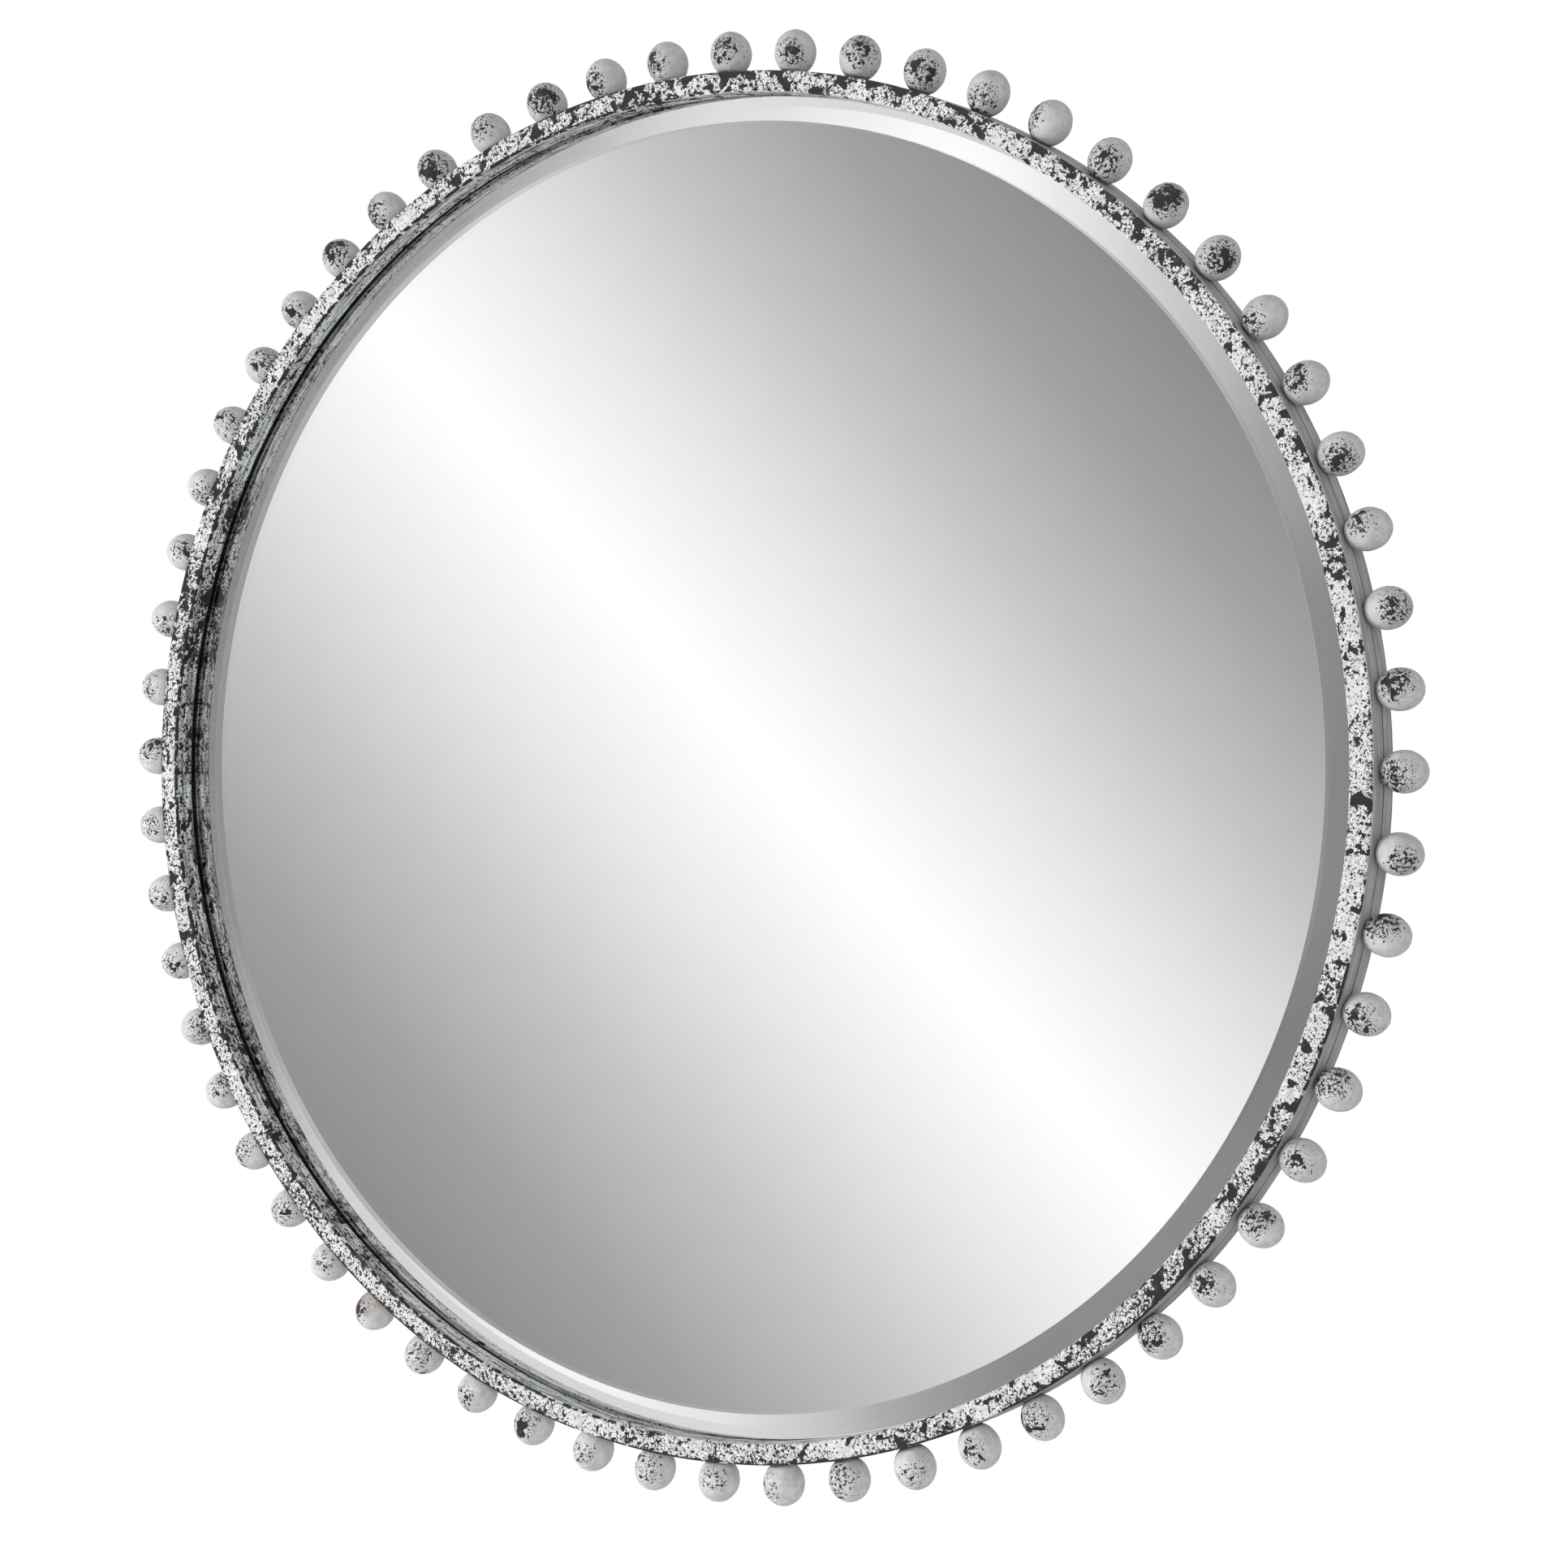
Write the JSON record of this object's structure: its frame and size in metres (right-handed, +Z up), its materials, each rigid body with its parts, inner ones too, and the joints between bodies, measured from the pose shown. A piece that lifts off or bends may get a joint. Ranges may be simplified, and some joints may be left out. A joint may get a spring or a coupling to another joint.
{
  "type": "round wall mirror",
  "caption": "Round wall mirror with a bevelled pane in a welded iron ring edged with beads, in chipped white paint.",
  "frame": {"origin": "where the mirror's axis meets the wall plane", "axes": "+Z up, +Y into the wall, so the glass faces -Y, +X to the viewer's right"},
  "size_m": [0.8128, 0.033, 0.8128],
  "materials": {
    "frame_paint": "chipped white paint over dark iron",
    "bead_paint": "chipped pale paint over dark iron",
    "glass": "polished clear float glass",
    "silver": "silvered",
    "tape": "matt black foam tape",
    "board": "pressed hardboard",
    "tab_steel": "oversprayed steel strip",
    "hardware": "zinc plated",
    "bumper": "matt black rubber"
  },
  "bodies": {
    "mirror": {"front_ring": "frame_paint", "angle_ring": "frame_paint", "mirror_glass": "glass", "silver_coat": "silver", "glazing_tape": "tape", "backing_board": "board", "hanger_screws": "hardware", "beads_hour_01": "bead_paint", "beads_hour_02": "bead_paint", "beads_hour_03": "bead_paint", "beads_hour_04": "bead_paint", "beads_hour_05": "bead_paint", "beads_hour_06": "bead_paint", "beads_hour_07": "bead_paint", "beads_hour_08": "bead_paint", "beads_hour_09": "bead_paint", "beads_hour_10": "bead_paint", "beads_hour_11": "bead_paint", "beads_hour_12": "bead_paint", "retainer_tab_1": "tab_steel", "retainer_tab_2": "tab_steel", "retainer_tab_3": "tab_steel", "retainer_tab_4": "tab_steel", "retainer_tab_5": "tab_steel", "retainer_tab_6": "tab_steel", "retainer_tab_7": "tab_steel", "retainer_tab_8": "tab_steel", "wall_bumper_1": "bumper", "wall_bumper_2": "bumper", "wall_bumper_3": "bumper", "wall_bumper_4": "bumper", "left_hanger_strap": "hardware", "right_hanger_strap": "hardware"},
    "left_loop": {"left_d_ring": "hardware"},
    "right_loop": {"right_d_ring": "hardware"}
  },
  "joints": [
    {"name": "left_d_ring_swing", "type": "hinge", "parent": "mirror", "child": "left_loop", "pos_m": [-0.2032, -0.00425, 0.19], "axis": [-1, 0, 0], "range_deg": [0, 183]},
    {"name": "right_d_ring_swing", "type": "hinge", "parent": "mirror", "child": "right_loop", "pos_m": [0.2032, -0.00425, 0.19], "axis": [-1, 0, 0], "range_deg": [0, 183]}
  ]
}
